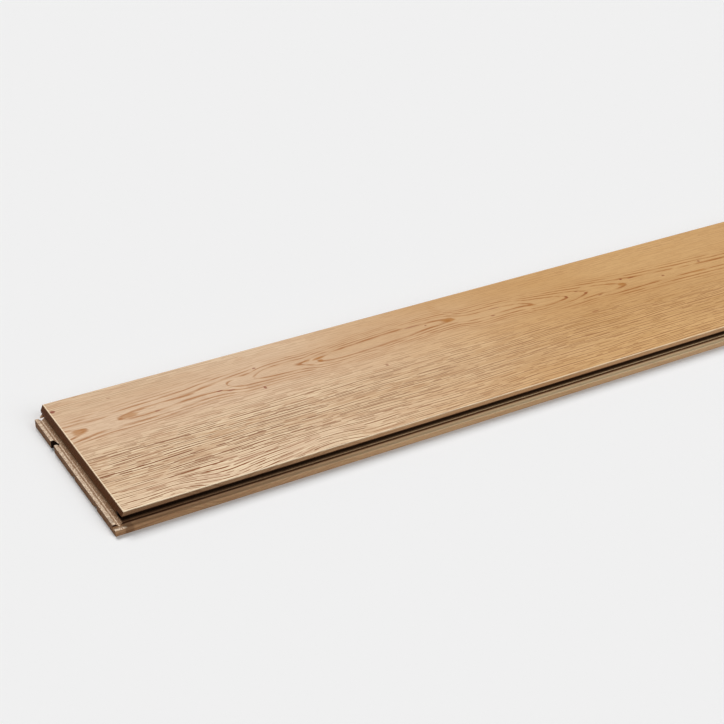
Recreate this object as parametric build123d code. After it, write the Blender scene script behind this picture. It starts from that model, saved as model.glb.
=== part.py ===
from build123d import *
import os

# A solid oak floorboard with a locking profile on all four sides. It lies flat with its
# walking face up. X runs along the grain, Y across the board and Z up, in millimetres.
# The groove side faces -Y, the tongue side +Y, the lipped end -X and the hooked end +X.
# The origin is under the middle of the board's outer size, on the plane that it lies on.

# Board
face_length = 1200.0       # walking face along the grain, joint to joint
face_width = 180.0         # walking face across the grain, joint to joint
thickness = 15.0           # underside to walking face
edge_bevel = 0.4           # flat taken off the four edges of the walking face
underside_round = 0.3      # eased edges under the board

# Groove side, outwards from its upper edge
upper_lip = 4.3            # wood above the tongue groove
groove_height = 3.6        # clear height of the tongue groove
groove_depth = 7.0         # how far the groove runs in under the walking face
groove_round = 0.6         # corners at the back of the groove
ledge_reach = 1.3          # flat just outside the groove
side_channel_width = 2.9   # locking channel beyond the ledge
side_channel_floor = 3.6   # wood left under the locking channel
side_channel_round = 2.1   # hollow at the foot of the channel's inner wall
side_ridge_foot = 0.5      # hollow at the foot of the ridge
side_ridge_width = 2.8     # locking ridge at the outside of the lip
side_ridge_height = 5.0    # underside to the top of the ridge
ridge_round = 0.45         # eased top edges of both locking ridges

# Tongue side, which closes on the groove side of the next board
tongue_play = 0.1          # above and below the tongue
tongue_tip_play = 0.5      # between the tongue's tip and the back of the groove
tongue_round = 1.3         # nose of the tongue
tongue_start = 3.0         # bare edge before the tongue begins, at the lipped end
rib_play = 0.2             # each side of the hanging rib
rib_foot_play = 0.8        # under the rib
rib_round = 0.9            # lower corners of the rib
ridge_headroom = 2.0       # above the next board's ridge
lip_end_gap = 0.3          # beyond the next board's lip

# Lipped end, outwards from its upper edge
nose_reach = 2.0           # locking nose under the upper edge
nose_top = 9.8             # underside to where the nose stops sloping out
nose_face = 1.0            # blunt front of the nose
throat_reach = 1.5         # back of the throat under the nose
throat_height = 7.0        # underside to the throat, where the lip starts to fall
hollow_start = 4.0         # foot of the fall, out from the upper edge
hollow_width = 0.9         # floor of the locking hollow
hollow_floor = 4.6         # wood left under the hollow
hollow_round = 0.5         # corners of the hollow's floor
end_ridge_slope = 2.4      # lean of the ridge's inner face
end_ridge_width = 2.7      # top of the end's locking ridge
end_ridge_height = 7.0     # underside to the top of the ridge

# Hooked end, which closes on the lipped end of the next board
nose_play = 0.15           # round the next board's nose
hook_play = 0.1            # each side of the hook, and under it
end_ridge_headroom = 0.3   # above the next board's ridge
end_lip_gap = 1.0          # beyond the next board's lip

# Relief grooves along the underside
relief_count = 3
relief_pitch = 47.5
relief_width = 7.0
relief_depth = 3.3
relief_round = 0.8

# Slot milled through the end's ridge, over the relief groove next to the tongue side
slot_width = 7.6
slot_reach = 5.8           # from the outside of the lip to the slot's round end

# Room for the cutters outside the wood
over = 5.0

# Levels and reaches of the long sides
groove_roof = thickness - upper_lip
ledge_height = groove_roof - groove_height
channel_end = ledge_reach + side_channel_width
side_lip_reach = channel_end + side_ridge_width
tongue_reach = groove_depth - tongue_tip_play
side_ceiling = side_ridge_height + ridge_headroom
side_setback = side_lip_reach + lip_end_gap

# Levels and reaches of the ends
nose_under = nose_top - nose_face
hollow_end = hollow_start + hollow_width
end_ridge_start = hollow_end + end_ridge_slope
end_lip_reach = end_ridge_start + end_ridge_width
end_ceiling = end_ridge_height + end_ridge_headroom
end_setback = end_lip_reach + end_lip_gap

# Upper edges of the four sides, placed so that the outer size is centred on the origin
lipped_x = (end_lip_reach - face_length) / 2
hooked_x = lipped_x + face_length
groove_y = (side_lip_reach - tongue_reach - face_width) / 2
tongue_y = groove_y + face_width

# Middle of the underside, between the groove side's lip and the cut under the tongue side
under_y = (groove_y - side_lip_reach + tongue_y - side_setback) / 2


def outline(*corners):
    """Close a face through corners given as along, up and corner radius."""
    points = [(along, up) for along, up, _ in corners]
    radii = [radius for _, _, radius in corners]
    return make_face(FilletPolyline(*points, radius=radii, close=True))


def long_section():
    """The board cut across the grain, from the walking face round past the tongue side."""
    rib_start = ledge_reach + rib_play
    rib_end = channel_end - rib_play
    rib_foot = side_channel_floor + rib_foot_play
    tongue_top = groove_roof - tongue_play
    tongue_under = ledge_height + tongue_play
    return outline(
        (groove_y + edge_bevel, thickness, 0),
        (tongue_y - edge_bevel, thickness, 0),
        (tongue_y, thickness - edge_bevel, 0),
        (tongue_y, tongue_top, 0),
        (tongue_y + tongue_reach, tongue_top, tongue_round),
        (tongue_y + tongue_reach, tongue_under, tongue_round),
        (tongue_y - rib_start, tongue_under, 0),
        (tongue_y - rib_start, rib_foot, rib_round),
        (tongue_y - rib_end, rib_foot, rib_round),
        (tongue_y - rib_end, side_ceiling, 0),
        (tongue_y - side_setback, side_ceiling, 0),
        (tongue_y - side_setback, 0, underside_round),
        (groove_y - side_lip_reach, 0, underside_round),
        (groove_y - side_lip_reach, side_ridge_height, ridge_round),
        (groove_y - channel_end, side_ridge_height, ridge_round),
        (groove_y - channel_end, side_channel_floor, side_ridge_foot),
        (groove_y - ledge_reach, side_channel_floor, side_channel_round),
        (groove_y - ledge_reach, ledge_height, 0),
        (groove_y + groove_depth, ledge_height, groove_round),
        (groove_y + groove_depth, groove_roof, groove_round),
        (groove_y, groove_roof, 0),
        (groove_y, thickness - edge_bevel, 0),
    )


def lipped_end_waste():
    """What is milled away above the lip of the -X end, seen along the board's width."""
    outside = lipped_x - end_lip_reach - over
    return outline(
        (lipped_x + edge_bevel, thickness + over, 0),
        (lipped_x + edge_bevel, thickness, 0),
        (lipped_x, thickness - edge_bevel, 0),
        (lipped_x - nose_reach, nose_top, 0),
        (lipped_x - nose_reach, nose_under, 0),
        (lipped_x - throat_reach, throat_height, 0),
        (lipped_x - hollow_start, hollow_floor, hollow_round),
        (lipped_x - hollow_end, hollow_floor, hollow_round),
        (lipped_x - end_ridge_start, end_ridge_height, ridge_round),
        (lipped_x - end_lip_reach, end_ridge_height, 0),
        (outside, end_ridge_height, 0),
        (outside, thickness + over, 0),
    )


def hooked_end_waste():
    """What is milled away round the hook of the +X end, seen along the board's width."""
    cavity = nose_reach + nose_play
    hook_foot = hollow_floor + hook_play
    return outline(
        (hooked_x - edge_bevel, thickness + over, 0),
        (hooked_x - edge_bevel, thickness, 0),
        (hooked_x, thickness - edge_bevel, 0),
        (hooked_x - cavity, nose_top, 0),
        (hooked_x - cavity, nose_under - nose_play, 0),
        (hooked_x - throat_reach - nose_play, throat_height + hook_play, 0),
        (hooked_x - hollow_start - hook_play, hook_foot, hollow_round),
        (hooked_x - hollow_end + hook_play, hook_foot, hollow_round),
        (hooked_x - end_ridge_start, end_ceiling, 0),
        (hooked_x - end_setback, end_ceiling, 0),
        (hooked_x - end_setback, -over, 0),
        (hooked_x + over, -over, 0),
        (hooked_x + over, thickness + over, 0),
    )


def across(section):
    """Carry an end's section right across the board and past both long sides."""
    far = tongue_y + tongue_reach + over
    near = groove_y - side_lip_reach - over
    return extrude(Plane.XZ.offset(-far) * section, amount=far - near)


def block(x_from, x_to, y_from, y_to):
    """A cutter right through the board's thickness."""
    return Pos(x_from, y_from, -over) * Box(
        x_to - x_from, y_to - y_from, thickness + 2 * over, align=Align.MIN
    )


def corner_waste():
    """Corners where the long sides leave no sound wood for an end's lip, tongue or hook."""
    ridge_corner = block(
        lipped_x - end_lip_reach - over,
        lipped_x - hollow_start,
        tongue_y - side_setback,
        tongue_y + tongue_reach + over,
    )
    tongue_corner = block(
        lipped_x - hollow_start - over,
        lipped_x + tongue_start,
        tongue_y,
        tongue_y + tongue_reach + over,
    )
    hook_corner = block(
        hooked_x - end_setback,
        hooked_x + over,
        groove_y - side_lip_reach - over,
        groove_y - ledge_reach,
    )
    return ridge_corner + tongue_corner + hook_corner


def relief_groove(y):
    """One groove along the whole underside, open at both ends."""
    top = Rectangle(relief_width, relief_depth + over, align=(Align.CENTER, Align.MAX))
    top = fillet(top.vertices().group_by(Axis.Y)[-1], relief_round)
    start = lipped_x - end_lip_reach - over
    section = Plane.YZ.offset(start) * Pos(y, relief_depth) * top
    return extrude(section, amount=hooked_x + over - start)


def ridge_slot(y):
    """The slot through the end's ridge, cut from outside and round at its inner end."""
    outer = lipped_x - end_lip_reach
    centre = outer + slot_reach - slot_width / 2
    length = centre - outer + over
    plan = Pos(centre - length / 2, y) * Rectangle(length, slot_width)
    plan += Pos(centre, y) * Circle(slot_width / 2)
    return extrude(Plane.XY.offset(-over) * plan, amount=thickness + 2 * over)


def floorboard():
    """The whole board, one piece of oak."""
    start = lipped_x - end_lip_reach
    board = extrude(Plane.YZ.offset(start) * long_section(), amount=hooked_x + over - start)
    board -= across(lipped_end_waste())
    board -= across(hooked_end_waste())
    board -= corner_waste()
    relief_rows = [
        under_y + (row - (relief_count - 1) / 2) * relief_pitch for row in range(relief_count)
    ]
    for y in relief_rows:
        board -= relief_groove(y)
    board -= ridge_slot(relief_rows[-1])
    return board


os.makedirs("parts", exist_ok=True)
export_step(floorboard(), "parts/floorboard.step")
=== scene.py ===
"""Dresses a solid oak floorboard: brushed walking face, milled locking profile and a plain studio."""

import logging
import math
from dataclasses import dataclass, field
from enum import Enum
from functools import reduce
from operator import mul
from typing import Any, Union

import bpy
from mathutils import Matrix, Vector


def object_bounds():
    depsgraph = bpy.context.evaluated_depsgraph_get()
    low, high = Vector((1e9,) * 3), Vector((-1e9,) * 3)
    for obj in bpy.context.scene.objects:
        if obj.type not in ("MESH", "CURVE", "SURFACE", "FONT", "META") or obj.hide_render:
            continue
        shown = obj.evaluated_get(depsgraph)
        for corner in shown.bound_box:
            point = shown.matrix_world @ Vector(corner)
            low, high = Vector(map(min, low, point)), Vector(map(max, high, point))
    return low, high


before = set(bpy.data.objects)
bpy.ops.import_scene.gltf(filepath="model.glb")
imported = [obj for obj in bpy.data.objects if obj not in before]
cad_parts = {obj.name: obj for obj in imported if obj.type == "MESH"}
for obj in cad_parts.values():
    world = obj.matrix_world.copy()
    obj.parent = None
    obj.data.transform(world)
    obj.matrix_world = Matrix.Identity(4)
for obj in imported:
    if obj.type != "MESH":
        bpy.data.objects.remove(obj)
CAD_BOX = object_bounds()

logging.basicConfig(level=logging.INFO, format="%(message)s")
LOG = logging.getLogger("floorboard")

NODE = "floorboard"
MM = 0.001

Number = Union[float, "Wire"]
Colour = tuple[float, float, float, float]
Span = tuple[float, float]  # where something starts and is full, or its least and its most
Points = tuple[tuple[float, float], ...]  # places and heights of a curve


def srgb(red: int, green: int, blue: int) -> Colour:
    """Turn a colour as seen on a screen into the linear colour that shaders use.

    Args:
        red: red from 0 to 255.
        green: green from 0 to 255.
        blue: blue from 0 to 255.

    Returns:
        The linear colour with an alpha of 1.
    """

    def linear(level: float) -> float:
        """Undo the screen's curve for one channel."""
        share = level / 255
        return share / 12.92 if share <= 0.04045 else ((share + 0.055) / 1.055) ** 2.4

    return (linear(red), linear(green), linear(blue), 1.0)


class Blend(Enum):
    """How a second colour goes over a first one."""

    COVER = "MIX"
    DARKEN = "MULTIPLY"


@dataclass(frozen=True)
class Tint:
    """A colour that goes over the wood.

    Attributes:
        colour: the colour.
        share: how strongly it goes on, from 0 to 1.
        blend: whether it darkens the wood or covers it.
    """

    colour: Colour
    share: float = 1.0
    blend: Blend = Blend.DARKEN


@dataclass(frozen=True)
class Figure:
    """A noise in the wood, stretched along the grain.

    Attributes:
        length: size of its features along the grain in millimetres.
        width: their size across the grain in millimetres.
        detail: how many finer layers it has.
        rough: how strong those layers are.
        height: their size upwards in millimetres, or None where it is the width.
    """

    length: float
    width: float
    detail: float = 2.0
    rough: float = 0.5
    height: float | None = None


@dataclass(frozen=True)
class Zone:
    """A part of the board with soft limits.

    Each limit is the reading at which the zone starts and the one at which it is full.

    Attributes:
        along: limits in millimetres from the lipped end's upper edge.
        across: limits in millimetres from the groove side's upper edge.
        depth: limits in millimetres from the walking face, negative in the wood.
        upwards: limits of how far a face looks up, from -1 to 1.
        endways: limits of how far it looks towards either end, from 0 to 1.
        sideways: limits of how far it looks towards either side, from 0 to 1.
    """

    along: tuple[Span, ...] = ()
    across: tuple[Span, ...] = ()
    depth: tuple[Span, ...] = ()
    upwards: tuple[Span, ...] = ()
    endways: tuple[Span, ...] = ()
    sideways: tuple[Span, ...] = ()


@dataclass(frozen=True)
class Mark:
    """A spot on the walking face.

    Attributes:
        along: millimetres from the lipped end's upper edge.
        across: millimetres from the groove side's upper edge.
        length: size along the grain in millimetres.
        width: size across the grain in millimetres.
        strength: how strongly it shows, from 0 to 1.
    """

    along: float
    across: float
    length: float
    width: float
    strength: float


class Wire:
    """A node's output that takes part in Python arithmetic."""

    def __init__(self, shader: "Shader", socket: bpy.types.NodeSocket) -> None:
        """Wrap a socket of the given shader."""
        self.shader = shader
        self.socket = socket

    def __add__(self, other: Number) -> "Wire":
        """Sum."""
        return self.shader.maths("ADD", self, other)

    def __radd__(self, other: Number) -> "Wire":
        """Sum with a number on the left."""
        return self.shader.maths("ADD", other, self)

    def __sub__(self, other: Number) -> "Wire":
        """Difference."""
        return self.shader.maths("SUBTRACT", self, other)

    def __rsub__(self, other: Number) -> "Wire":
        """Difference from a number on the left."""
        return self.shader.maths("SUBTRACT", other, self)

    def __mul__(self, other: Number) -> "Wire":
        """Product."""
        return self.shader.maths("MULTIPLY", self, other)

    def __rmul__(self, other: Number) -> "Wire":
        """Product with a number on the left."""
        return self.shader.maths("MULTIPLY", other, self)

    def __truediv__(self, other: Number) -> "Wire":
        """Quotient."""
        return self.shader.maths("DIVIDE", self, other)

    def __rtruediv__(self, other: Number) -> "Wire":
        """Quotient of a number on the left."""
        return self.shader.maths("DIVIDE", other, self)

    def __abs__(self) -> "Wire":
        """Size without its sign."""
        return self.shader.maths("ABSOLUTE", self)


class Shader:
    """The node tree of a material or of the world, written as Python expressions."""

    def __init__(self, owner: bpy.types.Material | bpy.types.World) -> None:
        """Start with the owner's node tree, emptied.

        Args:
            owner: the material or the world.
        """
        owner.use_nodes = True
        self.tree = owner.node_tree
        self.tree.nodes.clear()

    def _add(self, kind: str, settings: dict[str, Any], sockets: dict[str | int, Any]) -> bpy.types.Node:
        """Add a node of any kind.

        Args:
            kind: the node's type.
            settings: properties set before the sockets. "points" fills a float curve with pairs of place
                and height.
            sockets: values or wires, by socket name or number.

        Returns:
            The node.
        """
        made = self.tree.nodes.new(kind)
        for key, value in settings.items():
            if key == "points":
                self._fill_curve(made.mapping, value)
            else:
                setattr(made, key, value)
        for key, value in sockets.items():
            if isinstance(value, Wire):
                self.tree.links.new(value.socket, made.inputs[key])
            else:
                made.inputs[key].default_value = value
        return made

    @staticmethod
    def _fill_curve(mapping: bpy.types.CurveMapping, points: list[tuple[float, float]]) -> None:
        """Give a float curve its points.

        Args:
            mapping: the curve node's mapping.
            points: pairs of place and height, both from 0 to 1.
        """
        curve = mapping.curves[0]
        while len(curve.points) < len(points):
            curve.points.new(0.5, 0.5)
        for point, place in zip(curve.points, points):
            point.location = place
        mapping.update()

    def node(
        self,
        kind: str,
        settings: dict[str, Any] | None = None,
        sockets: dict[str | int, Any] | None = None,
        output: str | int = 0,
    ) -> Wire:
        """Add a node of any kind and wrap one of its outputs.

        Args:
            kind: the node's type.
            settings: properties set before the sockets.
            sockets: values or wires, by socket name or number.
            output: the output to wrap, by name or number.

        Returns:
            The wrapped output.
        """
        return Wire(self, self._add(kind, settings or {}, sockets or {}).outputs[output])

    def close(self, kind: str, surface: Wire) -> None:
        """Connect a surface to an output node of the given type."""
        self._add(kind, {}, {"Surface": surface})

    def maths(self, operation: str, *values: Number) -> Wire:
        """Add a Math node.

        Args:
            operation: its operation.
            values: one to three numbers or wires.

        Returns:
            The result.
        """
        return self.node("ShaderNodeMath", {"operation": operation}, dict(enumerate(values)))

    def vector(self, x: Number, y: Number, z: Number) -> Wire:
        """Join three values into a vector."""
        return self.node("ShaderNodeCombineXYZ", None, {0: x, 1: y, 2: z})

    def split(self, vector: Wire) -> list[Wire]:
        """Take a vector apart into its three values."""
        return [self.node("ShaderNodeSeparateXYZ", None, {0: vector}, axis) for axis in range(3)]

    def noise(self, place: Wire, detail: float = 2.0, rough: float = 0.5) -> Wire:
        """Smooth noise around 0.5 with features one unit wide.

        Args:
            place: the vector that it reads.
            detail: how many finer layers it has.
            rough: how strong those layers are.

        Returns:
            The noise from 0 to 1.
        """
        sockets = {"Vector": place, "Scale": 1.0, "Detail": detail, "Roughness": rough}
        return self.node("ShaderNodeTexNoise", None, sockets)

    def fade(self, value: Wire, span: Span) -> Wire:
        """Rise smoothly from 0 at the span's first value to 1 at its second.

        Args:
            value: the reading.
            span: where the rise starts and ends. The first may be the larger.

        Returns:
            The share from 0 to 1.
        """
        rising = span[0] < span[1]
        sockets = {
            "Value": value,
            "From Min": min(span),
            "From Max": max(span),
            "To Min": 0.0 if rising else 1.0,
            "To Max": 1.0 if rising else 0.0,
        }
        return self.node("ShaderNodeMapRange", {"interpolation_type": "SMOOTHSTEP"}, sockets)

    def between(self, share: Wire, low: float, high: float = 1.0) -> Wire:
        """Go from low where the share is 0 to high where it is 1."""
        return share * (high - low) + low

    def larger(self, first: Number, second: Number) -> Wire:
        """Take the larger of two values."""
        return self.maths("MAXIMUM", first, second)

    def mix(self, share: Number, first: Any, second: Any, blend: Blend = Blend.COVER) -> Wire:
        """Blend two colours.

        Args:
            share: how much of the second colour shows.
            first: the colour at share 0.
            second: the colour at share 1.
            blend: how the second colour goes over the first.

        Returns:
            The blended colour.
        """
        settings = {"data_type": "RGBA", "blend_type": blend.value, "clamp_factor": True}
        return self.node("ShaderNodeMix", settings, {0: share, 6: first, 7: second}, 2)

    def tint(self, colour: Wire, tint: Tint, mask: Wire) -> Wire:
        """Put a tint over a colour where a mask shows it."""
        return self.mix(mask * tint.share, colour, tint.colour, tint.blend)

    def curve(self, value: Wire, points: Points, span: Span, reach: Span) -> Wire:
        """Follow a smooth curve through points given in real units.

        Args:
            value: where along the curve.
            points: pairs of place and height.
            span: lowest and highest place.
            reach: lowest and highest height that the points may take.

        Returns:
            The height at value.
        """
        wide, tall = span[1] - span[0], reach[1] - reach[0]
        shares = [((place - span[0]) / wide, (height - reach[0]) / tall) for place, height in points]
        share = self.node("ShaderNodeFloatCurve", {"points": shares}, {"Value": (value - span[0]) / wide})
        return share * tall + reach[0]


@dataclass(frozen=True)
class Rings:
    """Growth rings of a board cut flat from the log, which show as long nested loops.

    They are circles round a heart that lies under the walking face. Places and radii are millimetres.
    """

    # the heart's place across the board, against the place along it
    heart_line: Points = (
        (0, 122), (17, 124), (48, 126), (80, 127.7), (110, 130), (140, 132.8), (160, 131.5), (175, 132),
        (190, 133.7), (213, 133.5), (237, 131), (270, 132.7), (300, 134.7), (325, 136.7), (365, 138.5),
        (378, 138), (390, 134), (402, 131.5), (430, 131.5), (450, 130), (463, 126), (476, 124.3),
        (501, 122), (524, 120.8), (545, 118.3), (567, 115.5), (620, 112), (800, 100), (950, 92),
        (1100, 96), (1200, 100),
    )
    heart_line_reach: Span = (60, 160)  # its least and its most
    # the heart's depth under the walking face, against the place along
    heart_depth: Points = (
        (0, 32.2), (17, 33.0), (32, 33.4), (48, 33.0), (60, 32.7), (80, 32.6), (112, 32.8), (130, 32.5),
        (140, 32.2), (150, 31.3), (162, 30.4), (175, 29.9), (182, 29.4), (190, 29.0), (205, 28.65),
        (222, 28.35), (230, 27.9), (237, 27.2), (250, 26.6), (270, 26.1), (300, 25.9), (325, 26.1),
        (350, 26.6), (378, 27.2), (388, 27.7), (430, 28.0), (463, 28.4), (480, 29.0), (501, 29.9),
        (524, 31.4), (545, 32.1), (567, 33.0), (620, 34.1), (700, 34.3), (850, 33), (960, 30),
        (1080, 33), (1200, 36),
    )
    heart_depth_reach: Span = (20, 40)  # its least and its most
    # how many rings lie within a radius
    count: Points = (
        (20, -1), (25, -0.5), (27.2, 0), (28.4, 1), (29.9, 2), (31.4, 3), (33, 4), (35, 5), (36.9, 6),
        (38.9, 7), (41, 8), (43.2, 9), (45.4, 10), (47.7, 11), (50, 12),
    )
    count_span: Span = (20, 50)  # radii that it covers
    count_reach: Span = (-6, 12)  # its least and its most
    outer_spacing: float = 3.8  # radius that each further ring adds
    flank: Span = (12, 60)  # distance beside the heart at which loops give way to straight lines
    sway: Figure = Figure(95, 42, detail=1)  # broad waves in the lines of the flank
    sway_reach: float = 6.0  # how far they carry a line
    ripple: Figure = Figure(17, 7)  # small waves in all lines
    ripple_in_loops: float = 0.7  # how far they carry the rings at the heart
    ripple_in_flank: float = 0.8  # how far they carry the rings of the flank
    line_start: float = 0.11  # half width of a ring's dark line over the heart, as a share of half the ring
    line_growth: float = 0.05  # what that share grows by with each millimetre beside the heart
    line_widest: float = 0.55  # the most that it grows to
    line_wear: Figure = Figure(21, 9, detail=1)  # makes a line swell and fade
    line_wear_reach: Span = (0.2, 2.0)  # what it multiplies the width by
    line_edge: Span = (1.0, 0.15)  # in the line's own half widths
    band: Span = (0.85, 0.35)  # the broad dark part of a ring, from 0 on its line to 1 midway


@dataclass(frozen=True)
class Scores:
    """Short lines along the grain, one in each narrow strip of the face.

    Attributes:
        pitch: width of a strip in millimetres.
        length: rough length of a line in millimetres.
        cut: level that the strip's noise has to pass. A higher one gives fewer lines.
        edge: millimetres beside the middle of a line where it starts and where it is full.
        least: how strongly lines show over the heart, where those of the flank show in full.
    """

    pitch: float
    length: float
    cut: float
    edge: Span
    least: float


@dataclass(frozen=True)
class Brushing:
    """Lines that a wire brush opens along the grain: dark dashes between raised fibres, pale partly as a
    painted highlight.

    Places are millimetres, and shares run from 0 to 1.
    """

    # where lines lean across the board near the groove side
    flame: Zone = Zone(along=((45, 105), (225, 165)), across=((34, 4),))
    flame_place: float = 135.0  # the middle of that part, along the board
    flame_lean: float = 0.2  # how far lines move across for each millimetre along
    ripple_reach: float = 0.5  # how far the small waves of the rings carry a line
    wander: Figure = Figure(400, 11, detail=1)  # lets lines drift apart and together
    wander_reach: float = 4.0  # how far it carries them
    tilt: float = 0.7  # how far lines move across for each millimetre up
    # long dark dashes
    long_scores: Scores = Scores(pitch=4.4, length=38, cut=0.44, edge=(0.7, 0.3), least=0.2)
    short_scores: Scores = Scores(pitch=2.7, length=18, cut=0.47, edge=(0.55, 0.25), least=0.4)  # short ones
    short_share: float = 0.8  # their strength beside the long ones
    drift_length: float = 3.0  # lengths of a line over which its strip's lines move sideways
    drift: Span = (-0.25, 1.25)  # where in its strip a line may lie, as shares of the pitch
    drift_spacing: float = 7.31  # how far apart neighbouring strips read the noise that moves their lines
    chance_spacing: float = 3.77  # how far apart they read the noise that starts and ends lines
    chance_level: float = 40.0  # the level of that noise, away from the other's
    cut_softness: float = 0.06  # how gently a line starts and ends
    fibre: Figure = Figure(44, 1.15)  # fine fibres
    faint: Span = (0.45, 0.36)  # levels of it that show a faint dash
    faint_share: float = 0.25  # strength of faint dashes
    faint_least: float = 0.4  # their strength over the heart, where the flank has them in full
    raised: Span = (0.5, 0.62)  # levels of it that show a raised fibre
    raised_in_loops: float = 0.2  # strength of raised fibres over the heart
    raised_in_flank: float = 0.8  # their strength in the flank
    patch: Figure = Figure(60, 13)  # patches in which faint dashes gather
    patch_reach: float = 0.03  # how far it shifts their level
    beside_edge: Span = (2.0, 1.2)  # pale edge beside a long dash, partly a painted highlight, in millimetres from its middle
    beside_share: float = 0.9  # its strength
    strand: Figure = Figure(26, 3.5, rough=0.6)  # breaks in the rings' dark lines
    strand_edge: Span = (0.3, 0.6)  # levels of it that show a line
    loops: Span = (30, 12)  # distance beside the heart at which loops show
    fleck: Figure = Figure(10, 0.9, rough=0.6)  # small specks
    fleck_edge: Span = (0.44, 0.36)  # levels of it that show a dark speck
    pores: Figure = Figure(9, 0.34, rough=0.6)  # open pores
    pore_edge: Span = (0.36, 0.26)  # levels of it that show a pore
    cloud: Figure = Figure(240, 60)  # broad soft patches
    calm: Span = (420, 60)  # brushing grows stronger towards the lipped end
    calm_waver: float = 200.0  # how far the clouds move that place
    calm_share: float = 0.65  # its strength away from there
    far_calm: Span = (152, 108)  # it grows stronger away from the tongue side
    far_calm_share: float = 0.5  # its strength at that side
    inside_share: float = 0.3  # strength of brushing on milled faces


@dataclass(frozen=True)
class OiledFace:
    """Matt oiled oak of the walking face, pale at the lipped end and golden further along."""

    face: Zone = Zone(depth=((-0.6, -0.5),), upwards=((0.5, 0.6),))  # faces that count as the walking face
    pale_end: Colour = srgb(220, 190, 159)  # the wood at the lipped end
    golden_end: Colour = srgb(209, 167, 114)  # the wood further along
    gild: Span = (140, 530)  # where the golden colour comes in, along the board
    gild_waver: float = 110.0  # how far the clouds move that place
    gild_inside: float = 0.2  # its strength on milled faces
    clouded: Tint = Tint(srgb(226, 206, 180))
    cloud_share: float = 0.22  # average strength of the clouds
    cloud_contrast: float = 1.1  # how much that differs from cloud to cloud
    tanned: Tint = Tint(srgb(245, 241, 236))  # greyer tone of the middle and of the tongue side
    tanned_middle: Zone = Zone(across=((18, 46), (98, 70)))  # where the middle is
    tanned_side: Zone = Zone(along=((300, 60),), across=((138, 165),))  # where the tongue side is
    tanned_side_share: float = 0.8  # strength of the tone there
    blush: Tint = Tint(srgb(234, 206, 166), 0.08)  # pinker patches
    blotch: Figure = Figure(48, 8)  # its patches
    blush_edge: Span = (0.42, 0.66)  # levels that show a patch
    dash: Tint = Tint(srgb(160, 104, 56))  # dashes and dark specks
    fleck_share: float = 0.15  # strength of specks
    pale_fibre_highlight: Colour = srgb(250, 230, 194)  # raised fibres at the lipped end, pale wood with a painted highlight
    golden_fibre_highlight: Colour = srgb(234, 192, 136)  # raised fibres further along, with a painted highlight
    fibre_highlight_share: float = 0.75  # strength of both
    loop_line: Tint = Tint(srgb(194, 144, 84), 0.8)  # dark lines of the rings' loops
    pore: Tint = Tint(srgb(98, 58, 32), 0.28, Blend.COVER)  # inside of an open pore
    smear: Colour = srgb(172, 112, 50)  # smears, which lie in the rings' dark bands
    knot: Colour = srgb(130, 50, 26)
    mark_edge: Span = (1.6, 0.2)  # squared distance from a mark's middle at which it shows
    mark_fray: float = 2.6  # how far specks fray its outline
    arris_wear_and_highlight: Tint = Tint(srgb(252, 232, 200), 1.0, Blend.COVER)  # worn edges of the face, lightened as wear and as a painted highlight
    long_arris: Zone = Zone(across=((1.6, 1.0),), depth=((-0.5, -0.3),))  # the edge along the groove side
    long_arris_fade: Span = (260, 20)  # it grows stronger towards the lipped end
    long_arris_reach: Span = (0.6, 0.9)  # its share
    end_arris: Zone = Zone(along=((1.2, 0.7),), depth=((-0.14, -0.04),))  # the edge of the lipped end
    nibble: Span = (0.3, 0.5)  # levels of the specks that show an edge
    nibble_share: float = 0.5  # strength of an edge between them
    roughness: float = 0.55
    dash_roughness: float = 0.2  # what dashes add to it
    ior: float = 1.45  # refraction of the oil
    specular: float = 0.08  # its shine
    relief_depth: float = 0.06  # depth of the brushed relief in millimetres
    relief_strength: float = 0.6
    raised_height: float = 0.4  # heights and depths in the relief, where 1 is its full depth
    dash_depth: float = 0.5
    loop_depth: float = 0.4
    pore_depth: float = 0.2
    knots: tuple[Mark, ...] = (
        Mark(3, 164, 4.5, 5, 0.85), Mark(139, 126, 6, 2.6, 0.7), Mark(80, 122.5, 5, 2.2, 0.5),
        Mark(148, 122.3, 7, 2.6, 0.5), Mark(175.5, 112, 2.6, 4.5, 0.7), Mark(181.5, 146.5, 3.2, 2.2, 0.7),
        Mark(52, 162, 4, 2.5, 0.35), Mark(286, 93.5, 3, 3.5, 0.5), Mark(354, 139.2, 2.6, 2, 0.7),
        Mark(341, 143.2, 18, 1.8, 0.5), Mark(419, 124.5, 5, 2.2, 0.6), Mark(428, 136.5, 14, 1.8, 0.45),
        Mark(501, 121, 3, 4, 0.5), Mark(522, 119, 3, 4, 0.45), Mark(516, 126, 4, 2.2, 0.45),
        Mark(532, 109, 5, 1.8, 0.5), Mark(569.5, 125.7, 3.4, 2.8, 0.9), Mark(580, 123.6, 8, 1.6, 0.6),
        Mark(508, 84.5, 8, 1.8, 0.45), Mark(565, 67, 7, 2.2, 0.35), Mark(611, 112, 4, 2.6, 0.7),
        Mark(662.5, 119.7, 3.4, 2.8, 0.75), Mark(842, 128, 4, 3, 0.7), Mark(1012, 88, 6, 4, 0.6),
        Mark(1104, 37, 3.5, 3, 0.8),
    )
    smears: tuple[Mark, ...] = (
        Mark(11, 123, 13, 9, 0.7), Mark(57, 127.5, 15, 7, 0.6), Mark(235, 134.5, 22, 3.4, 0.75),
        Mark(378, 138, 14, 8, 0.8), Mark(463, 123.5, 9, 3, 0.4), Mark(564, 116.5, 8, 6, 0.75),
        Mark(239, 130, 5, 3.5, 0.7), Mark(649, 102, 17, 5, 0.5), Mark(905, 61, 12, 4, 0.45),
        Mark(105, 69.5, 22, 2.4, 0.35), Mark(178, 169, 8, 6, 0.22), Mark(376, 160, 9, 22, 0.2),
    )


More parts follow.
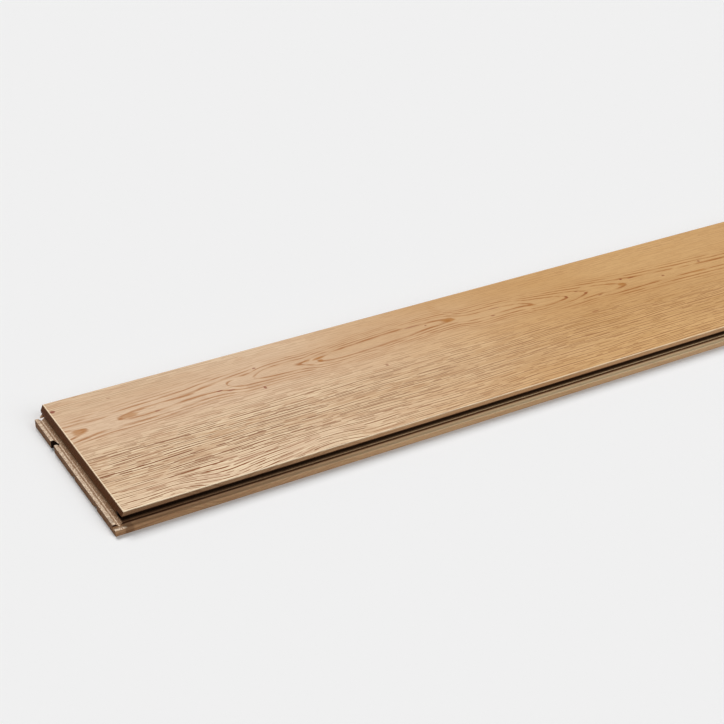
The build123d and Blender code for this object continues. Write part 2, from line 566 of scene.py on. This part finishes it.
@dataclass(frozen=True)
class MilledFaces:
    """Bare faces that cutters leave round the board, with painted shade on some and in its hollows, and
    painted light on others.
    """

    bare: Tint = Tint(srgb(238, 222, 204))  # tone of all milled faces
    # the lipped end's lip
    lip: Zone = Zone(along=((-1.6, -2.2),), depth=((-4.8, -5.2),), sideways=((0.7, 0.5),))
    lip_flat: Colour = srgb(214, 194, 172)  # its faces that look up
    # its sloped faces, darker as painted shade
    lip_slope_shaded: Colour = srgb(156, 128, 106)
    slope: Span = (0.3, 0.6)  # how far a slope looks along the board
    lip_share: float = 0.82  # strength of both
    stipple: Figure = Figure(1.1, 1.6, rough=0.6, height=1.1)  # its torn and frayed spots
    torn: Tint = Tint(srgb(138, 100, 66), 0.7, Blend.COVER)  # tone of its dark spots
    torn_edge: Span = (0.52, 0.38)  # levels of the stipple that show a dark spot
    frayed: Tint = Tint(srgb(252, 232, 200), 0.6, Blend.COVER)  # tone of its pale spots
    frayed_edge: Span = (0.54, 0.66)  # levels of it that show a pale spot
    groove_side: Zone = Zone(across=((12, 10),))  # the groove side, from inside its groove outwards
    painted_shade: Tint = Tint(srgb(96, 66, 50))  # painted shade, on the groove side and in the hollows
    side_shade_fade: Span = (320, -20)  # painted shade on the groove side grows stronger towards the lipped end
    side_shade_reach: Span = (0.1, 0.68)  # its share
    side_shade_base: Span = (-10, -9)  # it is weaker under this level
    side_shade_base_share: float = 0.5  # its strength there
    lower: Zone = Zone(across=((-0.9, -1.2),), depth=((-9.4, -10.0),))  # the groove side's locking lip
    lower_flat: Span = (0.3, 0.7)  # how far its flat faces look up
    lower_upright_share: float = 0.2  # strength of the painted light on upright faces
    clean: Tint = Tint(srgb(240, 214, 172), 1.0, Blend.COVER)  # painted light on its tops, in pale wood
    painted_light_fade: Span = (-10, 440)  # the painted light grows stronger away from the lipped end
    # the flat outside the tongue groove
    ledge: Zone = Zone(depth=((-8.2, -8.0), (-7.6, -7.8)), upwards=((0.6, 0.9),))
    ledge_inner: Span = (-0.35, -0.1)  # its inner, shaded part, across the board
    ledge_outer: Span = (-0.1, -0.35)  # its outer, lit part
    # painted light on the ledge's outer part
    ledge_painted_light: Tint = Tint(srgb(250, 222, 176), 1.0, Blend.COVER)
    ledge_shade: float = 0.6
    # top of the ridge at the near corner of the lipped end, which takes a painted highlight
    corner: Zone = Zone(along=((0.5, -1.5),), across=((-3.9, -4.5),), upwards=((0.6, 0.9),))
    corner_highlight_share: float = 0.75  # strength of its painted highlight
    # far corner of the lipped end, which takes painted shade
    far_corner: Zone = Zone(along=((1, -1),), across=((168, 177),), depth=((-6, -4),))
    far_corner_shade: float = 0.7
    rim: Zone = Zone(depth=((-3.3, -3.9), (-4.6, -4.4)))  # lower edge of the wood over the tongue groove, which takes painted shade
    rim_shade: float = 0.9
    end_cut: Zone = Zone(endways=((0.84, 0.9),))  # faces across the grain
    end_grain_shaded: Colour = srgb(96, 58, 30)  # their colour under the walking face: end grain, darkened further as painted shade
    outer_end: Colour = srgb(138, 100, 66)  # their colour outside the lip
    vessels: Figure = Figure(3, 0.45, rough=0.7)  # open vessels in them
    vessel_edge: Span = (0.5, 0.35)  # levels of it that show a vessel
    vessel_share: float = 0.6  # their strength
    end_ring_share: float = 0.35  # strength of the rings' lines in them
    end_shade_depth: Span = (-1.2, -5.4)  # painted shade, darker down the face towards the lip
    end_shade_share: float = 0.5  # strength of that painted shade
    # inside of the tongue groove
    tongue_groove: Zone = Zone(across=((0.9, 1.6), (12, 9)), depth=((-4.1, -4.5), (-8.1, -7.8)))
    groove_shade: Tint = Tint(srgb(34, 18, 10))  # painted shade inside it
    # painted shade in the locking channel outside the ledge
    channel: Zone = Zone(across=((-0.9, -1.3), (-2.6, -2.2)), depth=((-7.8, -8.1), (-10.0, -9.3)))
    channel_shade: float = 0.9
    # painted shade in the hollow under the nose of the lipped end
    throat: Zone = Zone(along=((-2.1, -1.9), (6, 4)), depth=((-5.4, -6.2),))
    throat_shade: float = 0.35
    slot_shade: Tint = Tint(srgb(34, 20, 12), 1.0, Blend.COVER)  # painted shade inside the slot


@dataclass
class Board:
    """The board, with the sizes of the CAD model that its wood is laid out by, in millimetres."""

    face_length: float = 1200.0  # walking face along the grain
    end_lip_reach: float = 10.0  # how far the lipped end's lip reaches past the walking face
    side_lip_reach: float = 7.0  # how far the groove side's lip reaches past it
    slot_place: float = 130.35  # middle of the slot, from the groove side's upper edge
    slot_width: float = 7.6
    slot_shade_reach: Span = (0.35, 0.1)  # how far outside the slot its painted shade shows
    slot_along: Span = (-4.0, -4.4)  # the slot's inner end, from the lipped end's upper edge
    slot_upright: Span = (0.8, 0.6)  # how far the slot's walls look up
    rings: Rings = field(default_factory=Rings)
    brushing: Brushing = field(default_factory=Brushing)
    oiled: OiledFace = field(default_factory=OiledFace)
    milled: MilledFaces = field(default_factory=MilledFaces)

    @property
    def corner(self) -> Vector:
        """Near corner of the walking face at the lipped end, in metres."""
        low, high = CAD_BOX
        return Vector((low[0] + self.end_lip_reach * MM, low[1] + self.side_lip_reach * MM, high[2]))

    @property
    def slot(self) -> Zone:
        """The walls of the slot through the lipped end's ridge, which take painted shade.

        Returns:
            Their zone.
        """
        start, full = (self.slot_width / 2 + spread for spread in self.slot_shade_reach)
        near = (self.slot_place - start, self.slot_place - full)
        far = (self.slot_place + start, self.slot_place + full)
        return Zone(along=(self.slot_along,), across=(near, far), upwards=(self.slot_upright,))

    def dress(self) -> None:
        """Give the board its oak and report it."""
        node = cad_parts[NODE]
        node.data.materials.clear()
        node.data.materials.append(Oak(self).paint())
        LOG.info("%s: brushed oak", node.name)


class Oak:
    """Brushed oak as one solid piece of wood, so that every cut face shows the same rings."""

    def __init__(self, board: Board) -> None:
        """Find where each point of the wood lies, its rings and its brushed lines.

        Args:
            board: the board that the wood makes up.
        """
        self.board = board
        self.material = bpy.data.materials.new("brushed_oak")
        self.shader = Shader(self.material)
        self._read_place()
        self._lay_rings()
        self._brush()

    def _read_place(self) -> None:
        """Read each point's place in millimetres and which way its face looks, and find the main faces."""
        shader, corner = self.shader, self.board.corner
        x, y, z = shader.split(shader.node("ShaderNodeTexCoord", output="Object"))
        self.along = (x - corner.x) / MM
        self.across = (y - corner.y) / MM
        self.up = z / MM
        self.depth = self.up - corner.z / MM
        end, side, self.upwards = shader.split(shader.node("ShaderNodeNewGeometry", output="True Normal"))
        self.endways, self.sideways = abs(end), abs(side)
        self.face = self.zone(self.board.oiled.face)
        self.inside = 1 - self.face
        self.lip = self.zone(self.board.milled.lip)

    def zone(self, zone: Zone) -> Wire:
        """Show where a zone is.

        Args:
            zone: the zone.

        Returns:
            The share from 0 outside it to 1 inside.
        """
        readings = (
            (self.along, zone.along),
            (self.across, zone.across),
            (self.depth, zone.depth),
            (self.upwards, zone.upwards),
            (self.endways, zone.endways),
            (self.sideways, zone.sideways),
        )
        fades = [self.shader.fade(reading, limit) for reading, limits in readings for limit in limits]
        return reduce(mul, fades)

    def figure(self, figure: Figure, across: Wire | None = None) -> Wire:
        """Make the noise of a figure.

        Args:
            figure: the figure.
            across: place across the lines that it follows, or straight across the board.

        Returns:
            The noise from 0 to 1.
        """
        across = self.across if across is None else across
        height = figure.width if figure.height is None else figure.height
        place = self.shader.vector(self.along / figure.length, across / figure.width, self.up / height)
        return self.shader.noise(place, figure.detail, figure.rough)

    def _lay_rings(self) -> None:
        """Lay the growth rings round the heart and find their dark lines."""
        shader, rings = self.shader, self.board.rings
        length = (0.0, self.board.face_length)
        heart = shader.curve(self.along, rings.heart_line, length, rings.heart_line_reach)
        sunk = shader.curve(self.along, rings.heart_depth, length, rings.heart_depth_reach) + self.depth
        self.flank = shader.fade(abs(self.across - heart), rings.flank)
        self.sway = (self.figure(rings.sway) - 0.5) * self.flank * rings.sway_reach
        self.ripple = self.figure(rings.ripple) - 0.5
        bend = self.ripple * shader.between(self.flank, rings.ripple_in_loops, rings.ripple_in_flank)
        self.off_heart = self.across + self.sway + bend - heart

        radius = shader.maths("SQRT", self.off_heart * self.off_heart + sunk * sunk)
        counted = shader.maths("MINIMUM", radius, rings.count_span[1])
        ring = shader.curve(counted, rings.count, rings.count_span, rings.count_reach)
        ring = ring + (radius - counted) / rings.outer_spacing
        # 0 on a ring's dark line and 1 midway between two lines
        swing = abs(shader.maths("FRACT", ring + 0.5) - 0.5) * 2
        width = abs(self.off_heart) * rings.line_growth + rings.line_start
        width = shader.maths("MINIMUM", width, rings.line_widest)
        width = width * shader.between(self.figure(rings.line_wear), *rings.line_wear_reach)
        self.line = shader.fade(swing / width, rings.line_edge)
        self.band = shader.fade(swing, rings.band) * self.face

    def _score(self, scores: Scores, grain: Wire) -> tuple[Wire, Wire]:
        """Lay one kind of short lines along the grain.

        Args:
            scores: the kind of lines.
            grain: place across the lines in millimetres.

        Returns:
            How far each point lies beside the line of its strip in millimetres, and where there is a line.
        """
        shader, brushing = self.shader, self.board.brushing
        strip = shader.maths("FLOOR", grain / scores.pitch)
        slow = self.along / (scores.length * brushing.drift_length)
        drift = shader.noise(shader.vector(slow, strip * brushing.drift_spacing, 0.0), detail=1)
        aside = abs(grain / scores.pitch - strip - shader.between(drift, *brushing.drift)) * scores.pitch
        quick = self.along / scores.length
        chance = shader.vector(quick, strip * brushing.chance_spacing, brushing.chance_level)
        full = scores.cut + brushing.cut_softness
        cut = shader.fade(shader.noise(chance, detail=1), (scores.cut, full))
        return aside, cut

    def _dash(self, scores: Scores, aside: Wire, cut: Wire) -> Wire:
        """Show one kind of short lines, weaker over the heart."""
        least = self.shader.between(self.flank, scores.least)
        return cut * self.shader.fade(aside, scores.edge) * least

    def _brush(self) -> None:
        """Open the grain with dark dashes, and raise fibres beside them, pale partly as a painted highlight.
        """
        shader, brushing, flank = self.shader, self.board.brushing, self.flank
        lean = self.zone(brushing.flame) * (self.along - brushing.flame_place) * brushing.flame_lean
        track = self.across + self.sway + self.ripple * brushing.ripple_reach - lean
        self.track = track
        self.cloud = self.figure(brushing.cloud)
        self.fleck = self.figure(brushing.fleck, track)
        fibre = self.figure(brushing.fibre, track)
        patch = (self.figure(brushing.patch, track) - 0.5) * brushing.patch_reach
        wander = (self.figure(brushing.wander) - 0.5) * brushing.wander_reach
        grain = track + self.up * brushing.tilt + wander

        aside, cut = self._score(brushing.long_scores, grain)
        long_dashes = self._dash(brushing.long_scores, aside, cut)
        short_dashes = self._dash(brushing.short_scores, *self._score(brushing.short_scores, grain))
        faint = shader.fade(fibre + patch, brushing.faint) * shader.between(flank, brushing.faint_least)
        short = shader.larger(short_dashes * brushing.short_share, faint * brushing.faint_share)
        self.dashes = shader.larger(long_dashes, short)
        beside = cut * shader.fade(aside, brushing.beside_edge) * flank * brushing.beside_share
        raised = shader.between(flank, brushing.raised_in_loops, brushing.raised_in_flank)
        self.raised = shader.larger(beside, shader.fade(fibre, brushing.raised) * raised)

        strand = shader.fade(self.figure(brushing.strand, track), brushing.strand_edge)
        self.loops = self.line * shader.fade(abs(self.off_heart), brushing.loops) * strand
        self.pores = shader.fade(self.figure(brushing.pores), brushing.pore_edge)
        waver = (self.cloud - 0.5) * brushing.calm_waver
        calm = shader.between(shader.fade(self.along + waver, brushing.calm), brushing.calm_share)
        side = shader.between(shader.fade(self.across, brushing.far_calm), brushing.far_calm_share)
        self.brushed = calm * side * shader.between(self.face, brushing.inside_share)

    def _oiled_face(self) -> Wire:
        """Colour the sound wood and the lines that brushing opened in it.

        Returns:
            The colour.
        """
        shader, oiled = self.shader, self.board.oiled
        waver = (self.cloud - 0.5) * oiled.gild_waver
        gild = shader.fade(self.along + waver, oiled.gild)
        gild = gild * shader.between(self.face, oiled.gild_inside)
        colour = shader.mix(gild, oiled.pale_end, oiled.golden_end)
        clouds = (self.cloud - 0.5) * oiled.cloud_contrast + oiled.cloud_share
        colour = shader.tint(colour, oiled.clouded, clouds)
        side = self.zone(oiled.tanned_side) * oiled.tanned_side_share
        tanned = shader.larger(self.zone(oiled.tanned_middle), side) * self.face
        colour = shader.tint(colour, oiled.tanned, tanned)
        dash = shader.mix(oiled.dash.share, colour, oiled.dash.colour, oiled.dash.blend)

        blotches = shader.fade(self.figure(oiled.blotch, self.track), oiled.blush_edge)
        colour = shader.tint(colour, oiled.blush, blotches)
        # raised fibres, pale partly as a painted highlight
        fibre_highlight = shader.mix(gild, oiled.pale_fibre_highlight, oiled.golden_fibre_highlight)
        colour = shader.mix(self.raised * self.brushed * oiled.fibre_highlight_share, colour, fibre_highlight)
        flecks = shader.fade(self.fleck, self.board.brushing.fleck_edge) * self.brushed
        colour = shader.mix(flecks * oiled.fleck_share, colour, dash)
        colour = shader.tint(colour, oiled.loop_line, self.loops)
        colour = shader.mix(self.dashes * self.brushed, colour, dash)
        return shader.tint(colour, oiled.pore, self.pores)

    def _marks(self, colour: Wire) -> Wire:
        """Put the smears and then the small knots on the walking face.

        Args:
            colour: the wood's colour so far.

        Returns:
            The colour with them.
        """
        shader, oiled = self.shader, self.board.oiled
        kinds = ((oiled.smears, oiled.smear, self.band), (oiled.knots, oiled.knot, self.face))
        for marks, tone, where in kinds:
            for mark in marks:
                far_along = (self.along - mark.along) / (mark.length / 2)
                far_across = (self.across - mark.across) / (mark.width / 2)
                far = far_along * far_along + far_across * far_across
                far = far + (self.fleck - 0.5) * oiled.mark_fray
                near = shader.fade(far, oiled.mark_edge) * where
                colour = shader.mix(near * mark.strength, colour, tone)
        return colour

    def _arrises(self, colour: Wire) -> Wire:
        """Lighten the two edges of the walking face, as wear and as a painted highlight.

        Args:
            colour: the wood's colour so far.

        Returns:
            The colour with the edges.
        """
        shader, oiled = self.shader, self.board.oiled
        fade = shader.between(shader.fade(self.along, oiled.long_arris_fade), *oiled.long_arris_reach)
        edges = shader.larger(self.zone(oiled.long_arris) * fade, self.zone(oiled.end_arris))
        nibble = shader.between(shader.fade(self.fleck, oiled.nibble), oiled.nibble_share)
        # edges lightened as wear and as a painted highlight
        return shader.tint(colour, oiled.arris_wear_and_highlight, edges * nibble)

    def _end_lip(self, colour: Wire) -> Wire:
        """Lay bare the wood of the lipped end's lip, its slopes darker as painted shade, with torn dark
        spots and frayed pale ones.

        Args:
            colour: the wood's colour so far.

        Returns:
            The colour with the lip.
        """
        shader, milled = self.shader, self.board.milled
        # sloped faces darker as painted shade
        raw = shader.mix(shader.fade(self.endways, milled.slope), milled.lip_flat, milled.lip_slope_shaded)
        stipple = self.figure(milled.stipple)
        raw = shader.tint(raw, milled.torn, shader.fade(stipple, milled.torn_edge))
        raw = shader.tint(raw, milled.frayed, shader.fade(stipple, milled.frayed_edge))
        return shader.mix(self.lip, colour, shader.mix(milled.lip_share, colour, raw))

    def _groove_side(self, colour: Wire) -> Wire:
        """Paint shade on the groove side near the lipped end, and paint light on its ledge and ridge further
        along.

        Args:
            colour: the wood's colour so far.

        Returns:
            The colour with the groove side.
        """
        shader, milled = self.shader, self.board.milled
        side = self.inside * (1 - self.lip) * self.zone(milled.groove_side)
        shade_mask = shader.between(shader.fade(self.along, milled.side_shade_fade), *milled.side_shade_reach)
        base = shader.between(shader.fade(self.depth, milled.side_shade_base), milled.side_shade_base_share)
        # painted shade on the groove side, darker towards the lipped end
        colour = shader.tint(colour, milled.painted_shade, side * shade_mask * base)

        # painted light on the groove side's lower lip, stronger on flat tops and away from the lipped end
        clean = shader.fade(self.along, milled.painted_light_fade)
        lower = side * self.zone(milled.lower)
        flat = shader.between(shader.fade(self.upwards, milled.lower_flat), milled.lower_upright_share)
        colour = shader.tint(colour, milled.clean, lower * flat * clean)
        # painted light on the ledge's outer part, and painted shade on its inner part
        ledge = side * self.zone(milled.ledge)
        lit = ledge * shader.fade(self.across, milled.ledge_outer)
        colour = shader.tint(colour, milled.ledge_painted_light, lit * clean)
        shaded = ledge * shader.fade(self.across, milled.ledge_inner)
        colour = shader.tint(colour, milled.painted_shade, shaded * milled.ledge_shade)

        # painted highlight on the ridge's top at the near corner
        corner = lower * self.zone(milled.corner) * milled.corner_highlight_share
        colour = shader.tint(colour, self.board.oiled.arris_wear_and_highlight, corner)
        # painted shade on the far corner of the lipped end
        far_corner = self.inside * self.zone(milled.far_corner) * milled.far_corner_shade
        colour = shader.tint(colour, milled.painted_shade, far_corner)
        # painted shade on the rim over the tongue groove
        return shader.tint(colour, milled.painted_shade, side * self.zone(milled.rim) * milled.rim_shade)

    def _end_grain(self, colour: Wire) -> Wire:
        """Show open vessels and the ends of the rings on faces across the grain, with painted shade on the
        face under the walking face.

        Args:
            colour: the wood's colour so far.

        Returns:
            The colour with the end grain.
        """
        shader, milled, pore = self.shader, self.board.milled, self.board.oiled.pore.colour
        ends = shader.mix(self.lip, milled.end_grain_shaded, milled.outer_end)
        vessels = shader.fade(self.figure(milled.vessels), milled.vessel_edge)
        ends = shader.mix(vessels * milled.vessel_share, ends, pore)
        ends = shader.mix(self.line * milled.end_ring_share, ends, pore)
        # painted shade, darker down the end face towards the lip
        shade_mask = shader.fade(self.depth, milled.end_shade_depth) * (1 - self.lip)
        ends = shader.mix(shade_mask * milled.end_shade_share, ends, pore)
        return shader.mix(self.zone(milled.end_cut), colour, ends)

    def _hollows(self, colour: Wire) -> Wire:
        """Paint shade into the groove, the channel, the throat and the slot.

        Args:
            colour: the wood's colour so far.

        Returns:
            The colour with its hollows.
        """
        shader, milled = self.shader, self.board.milled
        colour = shader.tint(colour, milled.groove_shade, self.zone(milled.tongue_groove))
        # painted shade in the channel and the throat
        channel = self.zone(milled.channel) * milled.channel_shade
        throat = self.zone(milled.throat) * milled.throat_shade
        colour = shader.tint(colour, milled.painted_shade, shader.larger(channel, throat))
        # painted shade inside the slot
        return shader.tint(colour, milled.slot_shade, self.zone(self.board.slot))

    def paint(self) -> bpy.types.Material:
        """Join colour, roughness and brushed relief in the surface.

        Returns:
            The material.
        """
        shader, oiled, milled = self.shader, self.board.oiled, self.board.milled
        colour = self._arrises(self._marks(self._oiled_face()))
        colour = shader.tint(colour, milled.bare, self.inside)
        colour = self._groove_side(self._end_lip(colour))
        colour = self._hollows(self._end_grain(colour))

        relief = self.raised * oiled.raised_height - self.dashes * oiled.dash_depth
        relief = relief - self.loops * oiled.loop_depth - self.pores * oiled.pore_depth
        bump = {"Height": relief, "Strength": oiled.relief_strength, "Distance": oiled.relief_depth * MM}
        sockets = {
            "Base Color": colour,
            "Roughness": oiled.roughness + self.dashes * oiled.dash_roughness,
            "Normal": shader.node("ShaderNodeBump", None, bump),
            "IOR": oiled.ior,
            "Specular IOR Level": oiled.specular,
        }
        shader.close("ShaderNodeOutputMaterial", shader.node("ShaderNodeBsdfPrincipled", None, sockets))
        return self.material


@dataclass(frozen=True)
class Lamp:
    """A distant lamp.

    Attributes:
        name: its name.
        share: the light that it puts on the floor, where 1 shows a colour as written.
        height: degrees above the horizon.
        heading: degrees from +Y towards +X.
        softness: how wide the lamp looks, in degrees.
        distance: how far away its object stands, in metres.
    """

    name: str
    share: float
    height: float
    heading: float
    softness: float
    distance: float = 3.0

    def hang(self) -> None:
        """Make the lamp and aim it at the board."""
        data = bpy.data.lights.new(self.name, "SUN")
        height, heading = math.radians(self.height), math.radians(self.heading)
        data.energy = self.share * math.pi / math.sin(height)
        data.angle = math.radians(self.softness)
        holder = bpy.data.objects.new(self.name, data)
        bpy.context.scene.collection.objects.link(holder)
        level = math.cos(height)
        to_lamp = Vector((math.sin(heading) * level, math.cos(heading) * level, math.sin(height)))
        holder.rotation_mode = "QUATERNION"
        holder.rotation_quaternion = to_lamp.to_track_quat("Z", "Y")
        holder.location = to_lamp * self.distance
        LOG.info("%s: hung", self.name)


@dataclass
class Studio:
    """A pale floor under an even sky, with a soft lamp behind, one overhead and a low one in front.

    Attributes:
        floor_size: side of the floor in metres.
        floor_colour: colour of the floor, and of the sky as the camera sees it.
        sky: strength of the sky's light.
        lamps: its lamps.
    """

    floor_size: float = 60.0
    floor_colour: Colour = srgb(240, 240, 240)
    sky: float = 0.16
    lamps: tuple[Lamp, ...] = (
        Lamp("key_lamp", share=0.59, height=46.0, heading=6.0, softness=26.0),
        Lamp("top_lamp", share=0.08, height=90.0, heading=0.0, softness=110.0),
        Lamp("front_lamp", share=0.17, height=32.0, heading=150.0, softness=40.0),
    )

    def build(self) -> None:
        """Lay the floor, light the sky and hang the lamps."""
        self._floor()
        self._sky()
        for lamp in self.lamps:
            lamp.hang()

    def _floor(self) -> None:
        """Lay a plain floor."""
        bpy.ops.object.select_all(action="DESELECT")
        bpy.ops.mesh.primitive_plane_add(size=self.floor_size, location=(0, 0, 0))
        floor = bpy.context.active_object
        floor.name = "studio_floor"
        material = bpy.data.materials.new("studio_floor")
        shader = Shader(material)
        matt = shader.node("ShaderNodeBsdfDiffuse", None, {"Color": self.floor_colour})
        shader.close("ShaderNodeOutputMaterial", matt)
        floor.data.materials.append(material)
        LOG.info("%s: laid", floor.name)

    def _sky(self) -> None:
        """Light an even sky, which the camera sees as the floor's own grey."""
        world = bpy.data.worlds.new("studio_sky")
        bpy.context.scene.world = world
        shader = Shader(world)
        seen_by_camera = shader.node("ShaderNodeLightPath", output="Is Camera Ray")
        lit = shader.node("ShaderNodeBackground", None, {"Color": (1, 1, 1, 1), "Strength": self.sky})
        seen = shader.node("ShaderNodeBackground", None, {"Color": self.floor_colour, "Strength": 1.0})
        mixed = shader.node("ShaderNodeMixShader", None, {0: seen_by_camera, 1: lit, 2: seen})
        shader.close("ShaderNodeOutputWorld", mixed)
        LOG.info("%s: lit", world.name)


@dataclass
class PhotoCamera:
    """The camera, set from the near corner of the walking face at the lipped end.

    Attributes:
        corner: that corner, in metres.
        offset: the camera's place from the corner, in metres.
        heading: degrees from +Y towards +X.
        look_down: degrees below the horizon.
        lens: focal length in millimetres.
        sensor: width of the sensor in millimetres.
        nearest: least distance that it sees, in metres.
        farthest: greatest distance that it sees, in metres.
    """

    corner: Vector
    offset: tuple[float, float, float] = (-0.31229, -0.90610, 0.66363)
    heading: float = 29.81
    look_down: float = 29.56
    lens: float = 75.8
    sensor: float = 36.0
    nearest: float = 0.01
    farthest: float = 100.0

    def build(self) -> None:
        """Place the camera and make it the scene's."""
        data = bpy.data.cameras.new("photo_camera")
        data.lens, data.sensor_width = self.lens, self.sensor
        data.clip_start, data.clip_end = self.nearest, self.farthest
        camera = bpy.data.objects.new("photo_camera", data)
        camera.location = self.corner + Vector(self.offset)
        camera.rotation_euler = (math.radians(90 - self.look_down), 0, -math.radians(self.heading))
        bpy.context.scene.collection.objects.link(camera)
        bpy.context.scene.camera = camera
        LOG.info("%s: placed", camera.name)


def main() -> None:
    """Build the camera, the studio and the board's looks."""
    bpy.context.scene.view_settings.view_transform = "Standard"
    board = Board()
    PhotoCamera(board.corner).build()
    Studio().build()
    board.dress()


if __name__ == "__main__":
    main()
